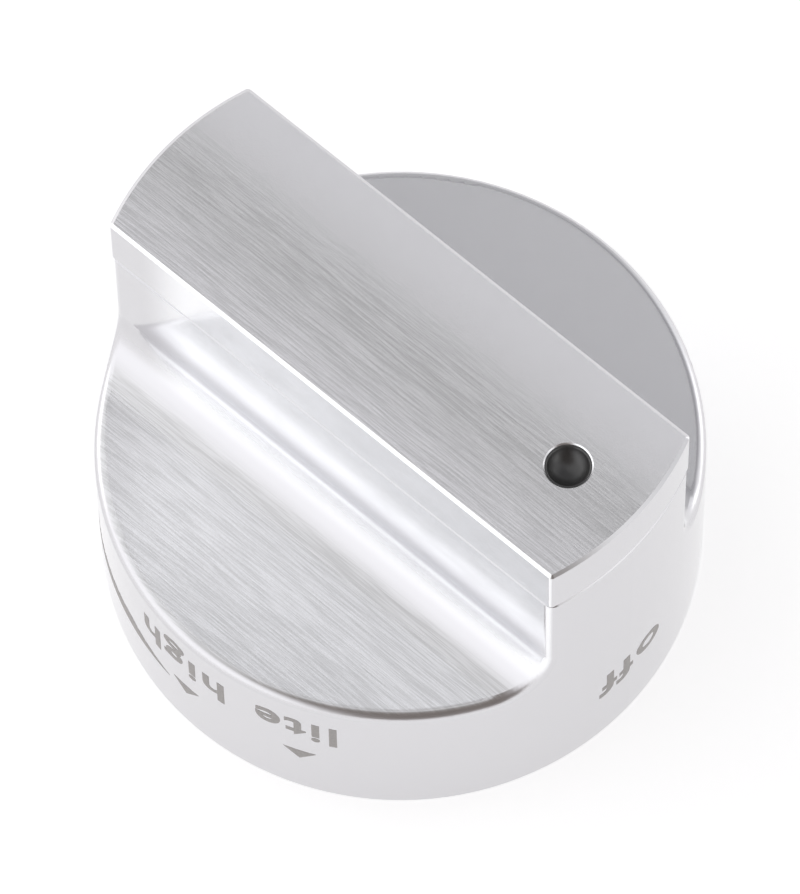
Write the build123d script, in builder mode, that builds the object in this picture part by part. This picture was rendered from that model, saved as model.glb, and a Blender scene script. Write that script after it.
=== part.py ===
import os

from build123d import *

# Rotary control knob for a cooker: a round skirt with a grip bar across its full diameter.
# Millimetres. The base rim lies on z = 0, +Z points out of the control panel,
# and +X runs along the grip to its pointer end.

# Outer form
knob_diameter = 51.0
overall_height = 37.4
skirt_height = 16.8  # base rim to the flat disc face
grip_width = 17.0
cap_height = 5.8  # grip top down to the seam
blend_radius = 4.8  # hollow sweep from the disc up into the grip
shoulder_round = 1.0  # disc rim and the shell's grip corners
cap_round = 0.4  # upright corners of the cap, left crisper
cap_ease = 0.3  # width of the eased edge round the cap's top
cap_ease_drop = 0.16  # its fall
base_chamfer = 0.3  # outer edge of the base rim
seam_break = 0.2  # bevel on each side of the seam
shell_wall = 2.2

# Grip cap
cap_plate = 2.4  # thickness under the brushed top
lip_depth = 2.0  # how far the locating lip reaches below the seam
lip_wall = 1.2
lip_clearance = 0.1
dimple_inset = 7.1  # from the pointer end of the grip
dimple_diameter = 3.7
dimple_depth = 1.25
dimple_break = 0.2  # bevel round its lip
post_spacing = 28.0  # between the two screw posts
post_diameter = 6.5
post_gap = 0.4  # left under a post, so that the screws clamp the shell
pilot_clearance = 0.03  # on the radius, round a screw
pilot_spare = 1.9  # beyond a screw's tip

# Hub
plate_thickness = 2.5
plate_clearance = 0.4  # to the inside of the skirt
keel_clearance = 0.1  # block that turns the shell, to the inside of the grip
keel_post_gap = 1.25
keel_lip_gap = 3.0
keel_corner = 1.5
stem_bore = 6.4  # D-shaped part of the socket
flat_cut = 0.8  # depth of the D's flat
mouth_relief = 0.4  # round lead-in for the stem's shank, wider on the radius
mouth_depth = 4.0
socket_roof = 4.6  # keel left above the socket
hub_wall = 2.9  # around the lead-in
hub_recess = 3.0  # hub mouth above the base rim
hub_chamfer = 0.6
rib_count = 4
rib_start = 45.0
rib_thickness = 1.6
rib_setback = 3.4  # outer end, in from the plate's edge
rib_foot = 2.6  # lower end, above the hub mouth

# Spring clip and its pocket beside the flat
clip_thickness = 0.4
clip_width = 2.4
clip_proud = 0.1  # stands past the flat, to press on the stem
clip_lip = 1.8  # hook over the hub's end face
clip_bend = 0.8
clip_bow = 5.0  # radius at the middle of the leaf
clip_foot = 2.0  # radius where the leaf leaves the pocket floor
clip_straight = 4.5  # from the hook to the foot of the leaf
clip_clearance = 0.05
clip_side_gap = 0.2
pocket_depth = 1.8  # behind the flat
pocket_roof = 1.5  # below the end of the socket
pocket_chamfer = 0.6

# Screws
screw_diameter = 2.44
screw_length = 11.0
screw_clearance = 0.4  # on the radius, in the hub plate
head_diameter = 5.4
head_height = 1.9
head_chamfer = 0.6
recess_span = 3.0
recess_width = 0.7
recess_depth = 1.1

# Levels and half sizes that follow from the above
knob_radius = knob_diameter / 2
grip_half = grip_width / 2
seam_level = overall_height - cap_height
inner_radius = knob_radius - shell_wall
inner_half = grip_half - shell_wall
inner_blend = blend_radius + shell_wall
ceiling_level = skirt_height - shell_wall
cap_ceiling = overall_height - cap_plate
lip_bottom = seam_level - lip_depth
post_bottom = ceiling_level + post_gap
plate_bottom = ceiling_level - plate_thickness
plate_radius = inner_radius - plate_clearance
screw_points = [(-post_spacing / 2, 0), (post_spacing / 2, 0)]
screw_radius = screw_diameter / 2
stem_radius = stem_bore / 2
mouth_radius = stem_radius + mouth_relief
hub_radius = mouth_radius + hub_wall
keel_top = lip_bottom - keel_lip_gap
keel_length = post_spacing - post_diameter - 2 * keel_post_gap
socket_bottom = hub_recess + mouth_depth
socket_top = keel_top - socket_roof
stem_flat = stem_radius - flat_cut


def bar_on_disc(radius, half_width, blend, disc_level, top_level):
    # Disc with a bar across it, joined by a hollow blend, cut round by a cylinder.
    with BuildPart() as form:
        with BuildSketch(Plane.YZ):
            with BuildLine() as half_profile:
                side = Polyline((0, top_level), (half_width, top_level), (half_width, disc_level + blend))
                sweep = TangentArc(side @ 1, (half_width + blend, disc_level), tangent=(0, -1))
                Polyline(sweep @ 1, (radius, disc_level), (radius, 0), (0, 0))
                mirror(half_profile.line, about=Plane.YZ)
            make_face()
        extrude(amount=radius, both=True)
        Cylinder(radius, top_level, align=(Align.CENTER, Align.CENTER, Align.MIN), mode=Mode.INTERSECT)
    return form.part


def bar_outline(inset):
    # Plan of the grip bar, pulled in by an even wall.
    with BuildSketch(mode=Mode.PRIVATE) as outline:
        Circle(knob_radius - inset)
        Rectangle(knob_diameter, grip_width - 2 * inset, mode=Mode.INTERSECT)
    return outline.sketch


def on_outer_wall(edge):
    # True for the edges that the disc face and the grip sides leave on the round outer wall.
    middle = edge.position_at(0.5)
    return abs(Vector(middle.X, middle.Y).length - knob_radius) < knob_radius / 1000


# Shell: skirt, disc, blends and the lower part of the grip, hollow from below and open at the seam
with BuildPart() as knob_body:
    add(bar_on_disc(knob_radius, grip_half, blend_radius, skirt_height, seam_level))
    wall_edges = knob_body.edges().filter_by(on_outer_wall)
    shoulder_edges = wall_edges.filter_by_position(
        Axis.Z, skirt_height, seam_level, inclusive=(True, False)
    )
    fillet(shoulder_edges, shoulder_round)
    chamfer(knob_body.faces().sort_by(Axis.Z)[-1].edges(), seam_break)
    add(
        bar_on_disc(inner_radius, inner_half, inner_blend, ceiling_level, seam_level),
        mode=Mode.SUBTRACT,
    )
    chamfer(knob_body.faces().sort_by(Axis.Z)[0].outer_wire().edges(), base_chamfer)

# Cap: closes the grip above the seam, located by a lip and pulled down by two posts
with BuildPart() as grip_cap:
    with BuildSketch(Plane.XY.offset(seam_level)):
        add(bar_outline(0))
    extrude(amount=cap_height)
    fillet(grip_cap.edges().filter_by(Axis.Z), cap_round)
    cap_top = grip_cap.faces().sort_by(Axis.Z)[-1]
    chamfer(cap_top.edges(), cap_ease, cap_ease_drop, reference=cap_top)
    chamfer(grip_cap.faces().sort_by(Axis.Z)[0].edges(), seam_break)
    with BuildSketch(Plane.XY.offset(lip_bottom)):
        add(bar_outline(shell_wall + lip_clearance))
    extrude(amount=lip_depth)
    with BuildSketch(Plane.XY.offset(lip_bottom)):
        add(bar_outline(shell_wall + lip_clearance + lip_wall))
    extrude(amount=cap_ceiling - lip_bottom, mode=Mode.SUBTRACT)
    with BuildSketch(Plane.XY.offset(post_bottom)):
        with Locations(*screw_points):
            Circle(post_diameter / 2)
    extrude(amount=cap_ceiling - post_bottom)
    with BuildSketch(Plane.XY.offset(post_bottom)):
        with Locations(*screw_points):
            Circle(screw_radius + pilot_clearance)
    extrude(amount=plate_bottom + screw_length + pilot_spare - post_bottom, mode=Mode.SUBTRACT)
    dish_radius = (dimple_diameter**2 / 4 + dimple_depth**2) / (2 * dimple_depth)
    with Locations((knob_radius - dimple_inset, 0, overall_height - dimple_depth + dish_radius)):
        Sphere(dish_radius, mode=Mode.SUBTRACT)
    chamfer(grip_cap.faces().sort_by(Axis.Z)[-1].inner_wires().edges(), dimple_break)

# Hub: plate against the shell's ceiling, keel inside the grip, ribbed tube with the stem socket
with BuildPart() as hub_rib:
    with BuildSketch(Plane.XZ):
        with BuildLine():
            Polyline(
                (0, plate_bottom),
                (plate_radius - rib_setback, plate_bottom),
                (hub_radius, hub_recess + rib_foot),
                (0, hub_recess + rib_foot),
                close=True,
            )
        make_face()
    extrude(amount=rib_thickness / 2, both=True)

pocket_floor = -(stem_flat + pocket_depth)
pocket_top = socket_top - pocket_roof
hook_level = hub_recess + clip_thickness + 2 * clip_clearance
with BuildPart() as stem_hub:
    with BuildSketch(Plane.XY.offset(plate_bottom)):
        Circle(plate_radius)
        with Locations(*screw_points):
            Circle(screw_radius + screw_clearance, mode=Mode.SUBTRACT)
    extrude(amount=plate_thickness)
    with BuildSketch(Plane.XY.offset(ceiling_level)):
        RectangleRounded(keel_length, 2 * (inner_half - keel_clearance), keel_corner)
    extrude(amount=keel_top - ceiling_level)
    with BuildSketch(Plane.XY.offset(hub_recess)):
        Circle(hub_radius)
    extrude(amount=plate_bottom - hub_recess)
    chamfer(stem_hub.faces().sort_by(Axis.Z)[0].edges(), hub_chamfer)
    with PolarLocations(0, rib_count, start_angle=rib_start):
        add(hub_rib.part)
    with BuildSketch(Plane.XY.offset(hub_recess)):
        Circle(mouth_radius)
    extrude(amount=mouth_depth, mode=Mode.SUBTRACT)
    with BuildSketch(Plane.XY.offset(socket_bottom)):
        Circle(stem_radius)
        with Locations((-stem_flat, 0)):
            Rectangle(stem_bore, stem_bore, align=(Align.MAX, Align.CENTER), mode=Mode.SUBTRACT)
    extrude(amount=socket_top - socket_bottom, mode=Mode.SUBTRACT)
    with BuildSketch(Plane.XZ):
        with BuildLine():
            Polyline(
                (0, hub_recess),
                (-hub_radius, hub_recess),
                (-hub_radius, hook_level),
                (pocket_floor - pocket_chamfer, hook_level),
                (pocket_floor, hook_level + pocket_chamfer),
                (pocket_floor, pocket_top),
                (0, pocket_top),
                close=True,
            )
        make_face()
    extrude(amount=clip_width / 2 + clip_side_gap, both=True, mode=Mode.SUBTRACT)

# Clip: strip hooked over the hub's mouth, its bowed leaf presses on the flat of the stem
leaf_back = pocket_floor + clip_clearance
leaf_foot = hook_level + clip_straight
leaf_end = pocket_top - clip_thickness - clip_clearance
leaf_crest = clip_proud - stem_flat - clip_thickness
with BuildPart() as spring_clip:
    with BuildSketch(Plane.XZ):
        with BuildLine():
            FilletPolyline(
                (leaf_back - clip_lip, hook_level - clip_clearance),
                (leaf_back, hook_level - clip_clearance),
                (leaf_back, leaf_foot),
                (leaf_crest, (leaf_foot + leaf_end) / 2),
                (leaf_back, leaf_end),
                radius=(clip_bend, clip_foot, clip_bow),
            )
            offset(amount=clip_thickness, side=Side.RIGHT)
        make_face()
    extrude(amount=clip_width / 2, both=True)

# Screws: driven up through the hub plate into the cap's posts
with BuildPart() as hub_screws:
    with BuildSketch(Plane.XY.offset(plate_bottom - head_height)):
        with Locations(*screw_points):
            Circle(head_diameter / 2)
    extrude(amount=head_height)
    chamfer(hub_screws.faces().group_by(Axis.Z)[0].edges(), head_chamfer)
    with BuildSketch(Plane.XY.offset(plate_bottom)):
        with Locations(*screw_points):
            Circle(screw_radius)
    extrude(amount=screw_length)
    with BuildSketch(Plane.XY.offset(plate_bottom - head_height)):
        with Locations(*screw_points):
            Rectangle(recess_span, recess_width)
            Rectangle(recess_width, recess_span)
    extrude(amount=recess_depth, mode=Mode.SUBTRACT)

knob_body.part.label = "knob_body"
grip_cap.part.label = "grip_cap"
stem_hub.part.label = "stem_hub"
spring_clip.part.label = "spring_clip"
hub_screws.part.label = "hub_screws"

os.makedirs("parts", exist_ok=True)
export_step(knob_body.part, "parts/knob_body.step")
export_step(grip_cap.part, "parts/grip_cap.step")
export_step(stem_hub.part, "parts/stem_hub.step")
export_step(spring_clip.part, "parts/spring_clip.step")
export_step(hub_screws.part, "parts/hub_screws.step")
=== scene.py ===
import math

import bmesh
import bpy
from mathutils import Matrix, Vector


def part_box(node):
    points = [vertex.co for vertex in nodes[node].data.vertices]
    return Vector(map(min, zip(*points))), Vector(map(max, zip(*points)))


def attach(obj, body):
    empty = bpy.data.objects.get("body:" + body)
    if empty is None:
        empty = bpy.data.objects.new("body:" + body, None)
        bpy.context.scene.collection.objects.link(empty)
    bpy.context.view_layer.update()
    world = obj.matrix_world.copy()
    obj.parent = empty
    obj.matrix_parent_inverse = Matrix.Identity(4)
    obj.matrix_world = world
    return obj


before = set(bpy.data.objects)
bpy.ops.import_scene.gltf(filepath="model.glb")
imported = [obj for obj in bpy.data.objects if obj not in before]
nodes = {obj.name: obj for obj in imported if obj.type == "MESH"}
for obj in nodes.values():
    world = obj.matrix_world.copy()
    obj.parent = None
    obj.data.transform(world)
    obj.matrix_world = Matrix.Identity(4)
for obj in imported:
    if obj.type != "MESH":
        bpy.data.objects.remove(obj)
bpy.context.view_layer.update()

scene = bpy.context.scene
mm = 0.001
print("frame loaded:", ", ".join(sorted(nodes)))

# levels and sizes taken from the solids
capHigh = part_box("grip_cap")[1]
gripTop = capHigh.z
skirtRadius = capHigh.x
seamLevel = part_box("knob_body")[1].z / mm


class Wire:
    # one socket of a node tree, so that shader maths reads as plain sums
    def __init__(self, tree, socket=None):
        self.tree = tree
        self.socket = socket

    def node(self, kind, settings=None, sockets=None, output=0):
        made = self.tree.nodes.new(kind)
        for name, value in (settings or {}).items():
            setattr(made, name, value)
        for name, value in (sockets or {}).items():
            if isinstance(value, Wire):
                self.tree.links.new(value.socket, made.inputs[name])
            else:
                made.inputs[name].default_value = value
        return Wire(self.tree, made.outputs[output] if made.outputs else None)

    def maths(self, operation, first, second):
        return self.node("ShaderNodeMath", {"operation": operation}, {0: first, 1: second})

    def __add__(self, other):
        return self.maths("ADD", self, other)

    def __radd__(self, other):
        return self.maths("ADD", other, self)

    def __sub__(self, other):
        return self.maths("SUBTRACT", self, other)

    def __rsub__(self, other):
        return self.maths("SUBTRACT", other, self)

    def __mul__(self, other):
        return self.maths("MULTIPLY", self, other)

    def __rmul__(self, other):
        return self.maths("MULTIPLY", other, self)

    def rise(self, start, end):
        # 0 below start, 1 above end, eased between
        return self.node(
            "ShaderNodeMapRange",
            {"interpolation_type": "SMOOTHSTEP"},
            {"Value": self, "From Min": start, "From Max": end},
        )

    def mixColour(self, low, high):
        # this value as the factor between two colours
        return self.node("ShaderNodeMix", {"data_type": "RGBA"}, {0: self, 6: low, 7: high}, 2)

    def tinted(self, factor, tint):
        # this colour multiplied by the tint where the factor is 1
        multiply = {"data_type": "RGBA", "blend_type": "MULTIPLY"}
        return self.node("ShaderNodeMix", multiply, {0: factor, 6: self, 7: tint}, 2)

    def noise(self, scale, detail=2.0, roughness=0.5):
        # this vector as the place, scale is cycles for each unit along x, y and z
        stretched = self.node("ShaderNodeMapping", None, {"Vector": self, "Scale": scale})
        return self.node(
            "ShaderNodeTexNoise",
            None,
            {"Vector": stretched, "Scale": 1.0, "Detail": detail, "Roughness": roughness},
        )


def newMaterial(name):
    material = bpy.data.materials.new(name)
    material.use_nodes = True
    material.node_tree.nodes.clear()
    return material, Wire(material.node_tree)


def placeInMm(start):
    # object coordinates, in millimetres
    place = start.node("ShaderNodeTexCoord", output="Object")
    return place.node("ShaderNodeVectorMath", {"operation": "SCALE"}, {0: place, "Scale": 1 / mm})


def surface(start, **sockets):
    named = {name.replace("_", " ").title().replace("Ior", "IOR"): value for name, value in sockets.items()}
    shader = start.node("ShaderNodeBsdfPrincipled", None, named, "BSDF")
    start.node("ShaderNodeOutputMaterial", None, {"Surface": shader})


def finishPiece(name, bm, material):
    mesh = bpy.data.meshes.new(name)
    bm.to_mesh(mesh)
    bm.free()
    mesh.materials.append(material)
    piece = bpy.data.objects.new(name, mesh)
    scene.collection.objects.link(piece)
    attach(piece, "root")
    return piece


def dressNode(name, material):
    mesh = nodes[name].data
    mesh.materials.clear()
    mesh.materials.append(material)


# metal of the shell and the cap
metal = dict(
    wallColour=(0.665, 0.66, 0.678, 1),
    sideReflection=(0.955, 0.962, 0.978, 1),  # long sides of the grip, lighter as a painted reflection of the bright surround they mirror
    # painted light: the disc's brightest tone, on the near half at the tail end
    discNearTone=(0.90, 0.90, 0.915, 1),
    discFrontTone=(0.80, 0.80, 0.815, 1),  # painted light: darker towards the pointer end
    discFarShade=(0.79, 0.785, 0.805, 1),  # painted shade: the half behind the grip
    capEdgeHighlight=(0.97, 0.963, 0.985, 1),
    capMiddleTone=(0.84, 0.835, 0.845, 1),  # painted reflection: the cap's top is darker between its long edges, lighter towards them
    streakTint=(0.80, 0.80, 0.795, 1),
    # painted shade along the seam, under the cap's edge
    seamShade=(0.86, 0.86, 0.86, 1),
    castColour=(0.36, 0.36, 0.37, 1),
    castLight=(0.5, 0.5, 0.51, 1),
    wallRoughness=0.1,
    edgeRoughness=0.28,  # rounded edges and blends
    brushRoughness=0.2,
    castRoughness=0.55,
    facingUp=(0.975, 0.997),  # how level a face is where it is brushed, none to fully
    streaksUp=(0.80, 0.93),  # and where it still has the streaks
    easedUp=(0.1, 0.5),  # and where it counts as an edge or a blend
    sideFacing=(0.45, 0.85),  # how far a face looks sideways, squared
    nearEdgeHighlight=(0.3, 0.45),  # and how far the cap's near edge does, not squared, which gets a painted highlight
    sideFrom=(17.0, 19.0),  # height from which the sides belong to the grip
    sideTail=(-21.0, -15.0),  # the painted reflection on the sides fades out at the tail end
    seamBand=0.3,  # mm below the seam, darkened as painted shade under the cap
    discTurn=(-6.0, 8.0),  # mm across, from the near half's painted tone to the far half's painted shade
    discAlong=(-18.0, 14.0),  # mm along, from the tail's painted tone to the pointer end's
    hairLean=0.53,  # finest grooves, how far they lean the surface
    fineLines=(14.0, 0.22),  # lines for each mm across, and cycles along each line
    midLines=(6.5, 0.14),
    lineApart=(500.0, 0.37),  # keeps each line's noise apart from the next
    midLean=0.04,
    broadStreaks=(0.03, 1.3, 0.2),
    streakMix=(0.8, 0.12, 0.2),  # shares of the fine, middle and broad ones
    streakEdge=(0.33, 0.67),
    edgeRoll=(0.4, 0.6, 0.0),  # rolls the cap's eased edge further over
    smoothSide=(-0.5, 4.5),  # streaks die out between these, mm across the grip
    brightFar=(0.0, 8.5),  # painted reflection: the cap's top brightens towards its far and near edges
    brightNear=(1.0, 8.4),
    waveScale=(0.22, 0.22, 0.22),
    waveHeight=0.0006,  # slow waviness of the polished walls
    waveRough=0.02,
    castGrain=(6, 6, 6),
    castRadius=(23.4, 23.45),  # unpolished inside the skirt, within this radius
    castLevel=(14.7, 15.0),  # and below this level
)


def hairLines(along, across, apart, lines, stretch):
    # straight grooves side by side, each with its own changes along its length
    line = across.maths("FLOOR", across * lines, 0.0)
    shift = line.node("ShaderNodeTexWhiteNoise", {"noise_dimensions": "1D"}, {"W": line}, "Value")
    row = {"X": along * stretch + shift * apart[0], "Y": line * apart[1]}
    spot = line.node("ShaderNodeCombineXYZ", None, row)
    flat = {"noise_dimensions": "2D"}
    return spot.node("ShaderNodeTexNoise", flat, {"Vector": spot, "Scale": 1.0, "Detail": 1.0}) - 0.5


def brushedMetal(name, look, cap=False):
    material, start = newMaterial(name)
    place = placeInMm(start)
    along = place.node("ShaderNodeSeparateXYZ", None, {0: place}, "X")
    across = place.node("ShaderNodeSeparateXYZ", None, {0: place}, "Y")
    height = place.node("ShaderNodeSeparateXYZ", None, {0: place}, "Z")
    facing = start.node("ShaderNodeTexCoord", output="Normal")
    level = facing.node("ShaderNodeSeparateXYZ", None, {0: facing}, "Z")
    sideways = facing.node("ShaderNodeSeparateXYZ", None, {0: facing}, "Y")
    brushed = level.rise(*look["facingUp"])
    eased = level.rise(*look["easedUp"]) * (1 - brushed)
    face = brushed if cap else level.rise(*look["streaksUp"])
    streaky = (1 - across.rise(*look["smoothSide"])) * face
    fine = hairLines(along, across, look["lineApart"], *look["fineLines"])
    mid = hairLines(along, across, look["lineApart"], *look["midLines"])
    broad = place.noise(look["broadStreaks"], 1.0) - 0.5
    wave = place.noise(look["waveScale"], 1.0) - 0.5
    fineShare, midShare, broadShare = look["streakMix"]
    streaks = fine * fineShare + mid * midShare + broad * broadShare + 0.5
    shade = streaks.rise(*look["streakEdge"]) * streaky

    # colour: painted reflection lightening the cap's long edges and the grip's long sides, painted
    # highlight on the cap's near edge, painted light and shade on the disc, painted shade below the seam,
    # dark streaks
    if cap:
        # painted reflection: lighter towards the cap's long edges
        edges = across.rise(*look["brightFar"]) + (0 - across).rise(*look["brightNear"])
        flatTone = edges.mixColour(look["capMiddleTone"], look["capEdgeHighlight"])
    else:
        # painted light and shade: the disc's tone changes along it and darkens behind the grip
        near = along.rise(*look["discAlong"]).mixColour(look["discNearTone"], look["discFrontTone"])
        flatTone = across.rise(*look["discTurn"]).mixColour(near, look["discFarShade"])
    # painted reflection: the grip's long sides get a lighter colour
    sideSheen = (sideways * sideways).rise(*look["sideFacing"]) * height.rise(*look["sideFrom"])
    sideSheen = sideSheen * along.rise(*look["sideTail"])
    if cap:
        # painted highlight along the cap's eased near edge
        sideSheen = sideSheen + (0 - sideways).rise(*look["nearEdgeHighlight"]) * eased
    # painted shade on the eased edge just below the seam
    seamShadow = height.rise(seamLevel - look["seamBand"], seamLevel - look["seamBand"] / 2) * eased
    colour = face.mixColour(sideSheen.mixColour(look["wallColour"], look["sideReflection"]), flatTone)
    colour = colour.tinted(shade, look["streakTint"])
    if not cap:
        colour = colour.tinted(seamShadow, look["seamShade"])

    rough = look["wallRoughness"] + eased * (look["edgeRoughness"] - look["wallRoughness"])
    rough = rough + wave * look["waveRough"]
    rough = rough + brushed * (look["brushRoughness"] - look["wallRoughness"])
    if not cap:
        flat = place.node("ShaderNodeVectorMath", {"operation": "MULTIPLY"}, {0: place, 1: (1, 1, 0)})
        reach = flat.node("ShaderNodeVectorMath", {"operation": "LENGTH"}, {0: flat}, "Value")
        inside = (1 - reach.rise(*look["castRadius"])) * (1 - height.rise(*look["castLevel"]))
        grain = place.noise(look["castGrain"], 4.0)
        colour = inside.mixColour(colour, grain.mixColour(look["castColour"], look["castLight"]))
        rough = rough + inside * (look["castRoughness"] - look["wallRoughness"])

    # grooves lean the surface across the grip only, so it blurs across the brushing
    grit = place.node("ShaderNodeTexWhiteNoise", {"noise_dimensions": "3D"}, {"Vector": place}, "Color")
    total = {"operation": "DOT_PRODUCT"}
    hair = grit.node("ShaderNodeVectorMath", total, {0: grit, 1: (1, 1, 1)}, "Value") - 1.5
    lean = (hair * look["hairLean"] + mid * look["midLean"] * streaky) * brushed
    tilt = start.node("ShaderNodeCombineXYZ", None, {"Y": lean})
    leaning = facing.node("ShaderNodeVectorMath", {"operation": "ADD"}, {0: facing, 1: tilt})
    if cap:
        turned = {0: facing, 1: look["edgeRoll"]}
        roll = facing.node("ShaderNodeVectorMath", {"operation": "MULTIPLY"}, turned)
        roll = roll.node("ShaderNodeVectorMath", {"operation": "SCALE"}, {0: roll, "Scale": eased})
        leaning = leaning.node("ShaderNodeVectorMath", {"operation": "ADD"}, {0: leaning, 1: roll})
    leaning = leaning.node("ShaderNodeVectorMath", {"operation": "NORMALIZE"}, {0: leaning})
    leaning = leaning.node(
        "ShaderNodeVectorTransform",
        {"vector_type": "NORMAL", "convert_from": "OBJECT", "convert_to": "WORLD"},
        {0: leaning},
    )
    normal = start.node(
        "ShaderNodeBump",
        None,
        {"Strength": 1.0, "Distance": mm, "Height": wave * look["waveHeight"], "Normal": leaning},
    )
    surface(start, base_color=colour, metallic=1.0, roughness=rough, normal=normal)
    return material


dressNode("knob_body", brushedMetal("satin_shell", metal))
dressNode("grip_cap", brushedMetal("brushed_cap", metal, cap=True))
print("metal done")

# hidden pieces underneath
moulding = dict(
    low=(0.018, 0.018, 0.019, 1),
    high=(0.035, 0.035, 0.037, 1),
    grain=(9, 9, 9),
    height=0.006,
    cloud=(0.3, 0.3, 0.3),
    rough=(0.42, 0.18),  # least, and what the cloud adds
)
clipSteel = dict(
    low=(0.46, 0.45, 0.43, 1),
    high=(0.6, 0.59, 0.57, 1),
    scale=(7, 7, 0.6),
    height=0.001,
    contrast=(0.3, 0.7),
    rough=(0.2, 0.2),
)
screwSteel = dict(
    low=(0.55, 0.56, 0.58, 1),
    high=(0.7, 0.69, 0.66, 1),
    scale=(2.5, 2.5, 2.5),
    height=0.002,
    contrast=(0.3, 0.7),
    rough=(0.2, 0.2),
)


def mouldedPlastic(name, look):
    material, start = newMaterial(name)
    place = placeInMm(start)
    grain = place.noise(look["grain"], 3.0)
    cloud = place.noise(look["cloud"], 2.0)
    normal = start.node(
        "ShaderNodeBump", None, {"Strength": 1.0, "Distance": mm, "Height": grain * look["height"]}
    )
    surface(
        start,
        base_color=(grain * 0.5 + cloud * 0.5).mixColour(look["low"], look["high"]),
        roughness=look["rough"][0] + cloud * look["rough"][1],
        normal=normal,
    )
    return material


def rolledSteel(name, look):
    material, start = newMaterial(name)
    place = placeInMm(start)
    grain = place.noise(look["scale"], 3.0)
    normal = start.node(
        "ShaderNodeBump", None, {"Strength": 1.0, "Distance": mm, "Height": grain * look["height"]}
    )
    surface(
        start,
        base_color=grain.rise(*look["contrast"]).mixColour(look["low"], look["high"]),
        metallic=1.0,
        roughness=look["rough"][0] + grain * look["rough"][1],
        normal=normal,
    )
    return material


dressNode("stem_hub", mouldedPlastic("black_moulding", moulding))
dressNode("spring_clip", rolledSteel("spring_steel", clipSteel))
dressNode("hub_screws", rolledSteel("plated_screw", screwSteel))
print("hub, clip and screws done")

# dark paint in the pointer dimple
dimple = dict(
    middle=(18.4 * mm, 0.0),
    width=3.7 * mm,
    depth=1.25 * mm,
    lip=0.2 * mm,  # bevel round the bowl
    bare=0.14 * mm,  # metal left bright at the lip
    film=0.02 * mm,
    rings=20,
    turns=64,
    grain=(9, 9, 9),
    grainHeight=0.003,
    rough=(0.34, 0.1),
    shine=0.9,
    coat=(0.4, 0.3),  # weight and roughness
    low=(0.010, 0.010, 0.010, 1),
    high=(0.022, 0.021, 0.021, 1),
)


def dimplePaint(look):
    bowl = (look["width"] ** 2 / 4 + look["depth"] ** 2) / (2 * look["depth"])
    brim = math.asin(look["width"] / 2 / bowl) - look["lip"] / bowl  # angle where the bevel starts
    middle = Vector((*look["middle"], gripTop))
    angles = [brim * ring / look["rings"] for ring in range(look["rings"] + 1)]
    arc = [(bowl * math.sin(angle), bowl * (1 - math.cos(angle)) - look["depth"]) for angle in angles]
    reach = look["width"] / 2 + look["lip"]
    share = 1 - look["bare"] / (reach - arc[-1][0])
    arc.append((arc[-1][0] + (reach - arc[-1][0]) * share, arc[-1][1] * (1 - share)))
    bm = bmesh.new()
    outline = [bm.verts.new((out, 0, up + look["film"])) for out, up in arc]
    edges = [bm.edges.new(pair) for pair in zip(outline, outline[1:])]
    bmesh.ops.spin(
        bm,
        geom=outline + edges,
        cent=(0, 0, 0),
        axis=(0, 0, 1),
        angle=math.tau,
        steps=look["turns"],
        use_merge=True,
    )
    bmesh.ops.remove_doubles(bm, verts=bm.verts, dist=mm / 1000)
    bmesh.ops.translate(bm, vec=middle, verts=bm.verts)
    bmesh.ops.recalc_face_normals(bm, faces=bm.faces)
    if sum(face.normal.z for face in bm.faces) < 0:
        bmesh.ops.reverse_faces(bm, faces=bm.faces)
    bmesh.ops.solidify(bm, geom=bm.faces, thickness=look["film"] * 0.8)
    for face in bm.faces:
        face.smooth = True
    material, start = newMaterial("dimple_paint")
    place = placeInMm(start)
    grain = place.noise(look["grain"], 3.0)
    bumps = {"Strength": 1.0, "Distance": mm, "Height": grain * look["grainHeight"]}
    normal = start.node("ShaderNodeBump", None, bumps)
    surface(
        start,
        base_color=grain.mixColour(look["low"], look["high"]),
        roughness=look["rough"][0] + grain * look["rough"][1],
        specular_ior_level=look["shine"],
        coat_weight=look["coat"][0],
        coat_roughness=look["coat"][1],
        normal=normal,
    )
    return finishPiece("dimple_paint", bm, material)


dimplePaint(dimple)
print("dimple paint done")

# grey print round the skirt; angles run from the pointer end, letters stand towards the base
skirtPrint = dict(
    # word, middle angle, baseline in mm, arc that it spans
    words=(("off", 0.5, 10.75, 17.0), ("lite", -68.3, 13.4, 16.2), ("high", -94.0, 13.2, 21.5)),
    letterSize=4.9 * mm,
    letterSpace=1.15,
    weight=0.022,  # stroke thickening, share of the size
    film=0.01 * mm,
    sunk=0.05 * mm,
    step=0.35 * mm,
    pointers=(-67.6, -92.9),
    pointerWidth=2.9 * mm,
    pointerBase=7.5 * mm,
    pointerTip=6.0 * mm,
    wedgeFrom=-97.5,
    wedgeTo=-170.0,
    wedgeLevel=6.3 * mm,
    wedgeThick=1.7 * mm,
    wedgeWidest=0.18,  # share of its length
    speckle=(5, 5, 5),
    speckleHeight=0.003,
    contrast=(0.3, 0.7),
    rough=(0.45, 0.15),
    low=(0.27, 0.255, 0.25, 1),
    high=(0.34, 0.325, 0.315, 1),
)


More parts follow.
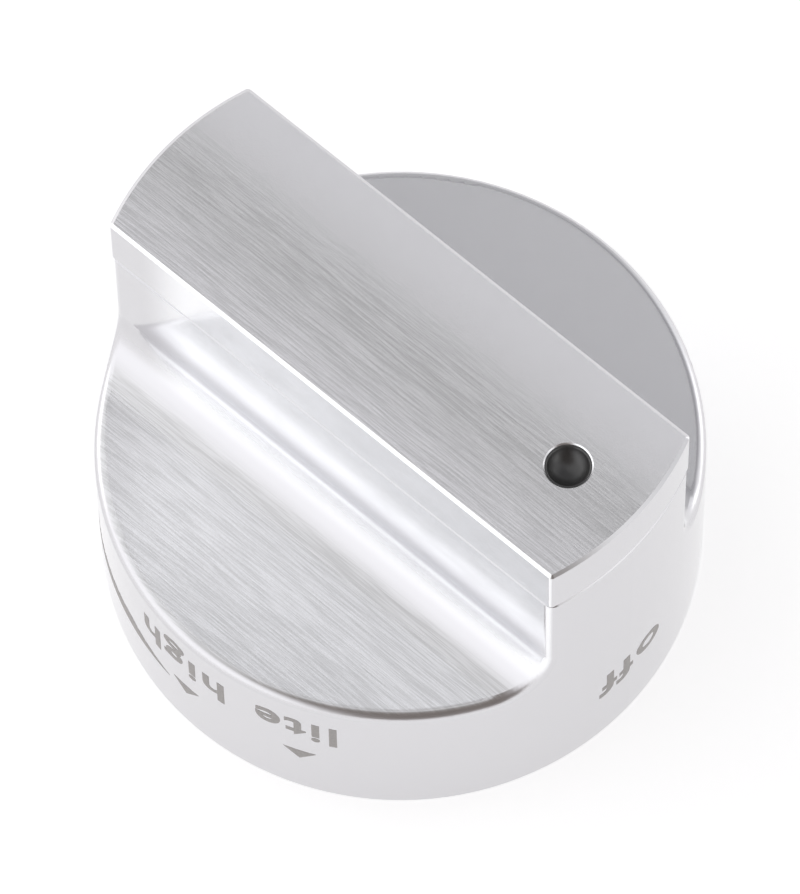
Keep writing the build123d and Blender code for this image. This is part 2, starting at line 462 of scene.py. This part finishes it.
def wrapOnSkirt(bm, angle, level, look):
    # flat print to a closed film round the skirt: x runs round it, y up the letters, z out
    low = min(vert.co.x for vert in bm.verts)
    high = max(vert.co.x for vert in bm.verts)
    for cut in range(1, math.ceil((high - low) / look["step"])):
        bmesh.ops.bisect_plane(
            bm,
            geom=bm.verts[:] + bm.edges[:] + bm.faces[:],
            plane_co=(low + cut * look["step"], 0, 0),
            plane_no=(1, 0, 0),
        )
    raised = bmesh.ops.extrude_face_region(bm, geom=bm.faces[:])
    top = [item for item in raised["geom"] if isinstance(item, bmesh.types.BMVert)]
    bmesh.ops.translate(bm, vec=(0, 0, look["film"] + look["sunk"]), verts=top)
    for vert in bm.verts:
        turn = math.radians(angle) - vert.co.x / skirtRadius
        out = skirtRadius - look["sunk"] + vert.co.z
        vert.co = Vector((out * math.cos(turn), out * math.sin(turn), level - vert.co.y))
    bmesh.ops.recalc_face_normals(bm, faces=bm.faces)
    for face in bm.faces:
        face.smooth = False


def printedWord(text, arc, look):
    letters = bpy.data.curves.new("word", "FONT")
    letters.body = text
    letters.size = look["letterSize"]
    letters.offset = look["letterSize"] * look["weight"]
    letters.space_character = look["letterSpace"]
    letters.align_x = "CENTER"
    holder = bpy.data.objects.new("word", letters)
    scene.collection.objects.link(holder)
    bpy.context.view_layer.update()
    mesh = bpy.data.meshes.new_from_object(holder.evaluated_get(bpy.context.evaluated_depsgraph_get()))
    bm = bmesh.new()
    bm.from_mesh(mesh)
    bmesh.ops.remove_doubles(bm, verts=bm.verts, dist=mm / 1000)
    span = [vert.co.x for vert in bm.verts]
    fit = math.radians(arc) * skirtRadius / (max(span) - min(span))
    bmesh.ops.translate(bm, vec=(-(max(span) + min(span)) / 2, 0, 0), verts=bm.verts)
    bmesh.ops.scale(bm, vec=(fit, 1, 1), verts=bm.verts)
    bpy.data.objects.remove(holder)
    bpy.data.curves.remove(letters)
    bpy.data.meshes.remove(mesh)
    return bm


def printInk(look):
    material, start = newMaterial("skirt_print")
    place = placeInMm(start)
    speckle = place.noise(look["speckle"], 4.0, 0.6)
    bumps = {"Strength": 1.0, "Distance": mm, "Height": speckle * look["speckleHeight"]}
    normal = start.node("ShaderNodeBump", None, bumps)
    surface(
        start,
        base_color=speckle.rise(*look["contrast"]).mixColour(look["low"], look["high"]),
        roughness=look["rough"][0] + speckle * look["rough"][1],
        normal=normal,
    )
    return material


def flatShape(points):
    bm = bmesh.new()
    bm.faces.new([bm.verts.new((x, y, 0)) for x, y in points])
    return bm


def skirtMarks(look):
    ink = printInk(look)
    for text, angle, baseline, arc in look["words"]:
        bm = printedWord(text, arc, look)
        wrapOnSkirt(bm, angle, baseline * mm, look)
        finishPiece("print_" + text, bm, ink)
    half = look["pointerWidth"] / 2
    point = look["pointerBase"] - look["pointerTip"]
    for count, angle in enumerate(look["pointers"], 1):
        bm = flatShape(((-half, 0), (half, 0), (0, point)))
        wrapOnSkirt(bm, angle, look["pointerBase"], look)
        finishPiece(f"print_pointer_{count}", bm, ink)
    length = math.radians(look["wedgeFrom"] - look["wedgeTo"]) * skirtRadius
    widest = length * look["wedgeWidest"]
    bm = flatShape(((0, 0), (widest, -look["wedgeThick"]), (length, 0), (widest, 0)))
    wrapOnSkirt(bm, look["wedgeFrom"], look["wedgeLevel"], look)
    finishPiece("print_wedge", bm, ink)


skirtMarks(skirtPrint)
print("print done")

# plain pale floor and soft studio surround
studio = dict(
    floorRadius=3.0,
    floorShadowTone=(0.66, 0.66, 0.665, 1),  # painted contact shadow: a little darker close to the knob
    floorFar=(0.67, 0.67, 0.67, 1),
    floorFade=(36.0, 70.0),  # mm from the middle
    floorGlow=(0.60, 0.63),
    floorCloud=(0.02, 0.02, 0.02),
    floorUneven=0.04,
    floorRough=0.9,
    # bright along the horizon; near is the side that the camera is on, far is behind the grip
    horizonNear=(1.35, 1.34, 1.33, 1),
    horizonFar=(1.05, 1.05, 1.07, 1),
    skyNear=(0.89, 0.89, 0.90, 1),
    skyFar=(0.345, 0.345, 0.36, 1),
    skySplit=(0.0, 0.45),
    skyRise=(0.36, 0.60),
    # patches laid over it: direction, cosines from its middle (none to full), colour
    patches=(
        ((-0.55, 0.80, 0.25), (0.86, 0.95), (0.50, 0.50, 0.51, 1)),  # gap behind
        ((0.92, 0.30, 0.24), (0.90, 0.97), (1.6, 1.6, 1.6, 1)),  # strip light on the right
        ((0.36, 0.92, 0.16), (0.95, 0.985), (2.2, 2.2, 2.2, 1)),  # two small lamps at the sides
        ((-0.94, -0.28, 0.16), (0.95, 0.985), (2.2, 2.2, 2.2, 1)),
        ((0.55, 0.62, 0.55), (0.88, 0.98), (0.85, 0.85, 0.86, 1)),  # soft light on the far right
        ((0.50, -0.54, 0.68), (0.68, 0.86), (0.22, 0.19, 0.175, 1)),  # dark room behind the camera
        ((-0.35, -0.93, 0.10), (0.60, 0.90), (1.42, 1.42, 1.44, 1)),  # large low softbox on the left
    ),
)


def studioFloor(look):
    bm = bmesh.new()
    bmesh.ops.create_circle(bm, cap_ends=True, segments=96, radius=look["floorRadius"])
    mesh = bpy.data.meshes.new("floor")
    bm.to_mesh(mesh)
    bm.free()
    material, start = newMaterial("pale_floor")
    place = placeInMm(start)
    reach = place.node("ShaderNodeVectorMath", {"operation": "LENGTH"}, {0: place}, "Value")
    cloud = place.noise(look["floorCloud"], 2.0)
    # painted contact shadow: the floor's tone and glow drop close to the knob
    fade = reach.rise(*look["floorFade"]) + (cloud - 0.5) * look["floorUneven"]
    tone = fade.mixColour(look["floorShadowTone"], look["floorFar"])
    glow = fade.mixColour((look["floorGlow"][0],) * 3 + (1,), (look["floorGlow"][1],) * 3 + (1,))
    surface(
        start, base_color=tone, roughness=look["floorRough"], emission_color=glow, emission_strength=1.0
    )
    mesh.materials.append(material)
    floor = bpy.data.objects.new("floor", mesh)
    scene.collection.objects.link(floor)


def studioSurround(look):
    world = bpy.data.worlds.new("studio")
    world.use_nodes = True
    world.node_tree.nodes.clear()
    scene.world = world
    start = Wire(world.node_tree)
    way = start.node("ShaderNodeTexCoord", output="Generated")
    up = way.node("ShaderNodeSeparateXYZ", None, {0: way}, "Z")
    far = way.node("ShaderNodeSeparateXYZ", None, {0: way}, "Y").rise(*look["skySplit"])
    horizon = far.mixColour(look["horizonNear"], look["horizonFar"])
    sky = up.rise(*look["skyRise"]).mixColour(horizon, far.mixColour(look["skyNear"], look["skyFar"]))
    for aim, edge, colour in look["patches"]:
        middle = Vector(aim).normalized()
        dot = {"operation": "DOT_PRODUCT"}
        close = way.node("ShaderNodeVectorMath", dot, {0: way, 1: middle}, "Value")
        sky = close.rise(*edge).mixColour(sky, colour)
    light = start.node("ShaderNodeBackground", None, {"Color": sky, "Strength": 1.0})
    start.node("ShaderNodeOutputWorld", None, {"Surface": light})


studioFloor(studio)
studioSurround(studio)
scene.view_settings.view_transform = "Standard"
print("studio done")

# camera at the photo's angle
shot = dict(
    azimuth=42.765,
    elevation=64.385,
    roll=-1.166,
    distance=778.6 * mm,
    target=(-2.295 * mm, 2.448 * mm, 8.415 * mm),
    lens=372.6,
    sensor=36.0,
    clipStart=10 * mm,
)


def addCamera(look):
    azimuth, elevation, roll = (math.radians(look[name]) for name in ("azimuth", "elevation", "roll"))
    level = math.cos(elevation)
    back = Vector((math.sin(azimuth) * level, -math.cos(azimuth) * level, math.sin(elevation)))
    right = Vector((math.cos(azimuth), math.sin(azimuth), 0))
    up = back.cross(right)
    side = right * math.cos(roll) + up * math.sin(roll)
    above = up * math.cos(roll) - right * math.sin(roll)
    data = bpy.data.cameras.new("camera")
    data.lens = look["lens"]
    data.sensor_width = look["sensor"]
    data.clip_start = look["clipStart"]
    camera = bpy.data.objects.new("camera", data)
    scene.collection.objects.link(camera)
    turn = Matrix((side, above, back)).transposed().to_4x4()
    camera.matrix_world = Matrix.Translation(Vector(look["target"]) + look["distance"] * back) @ turn
    scene.camera = camera


addCamera(shot)
print("camera done")
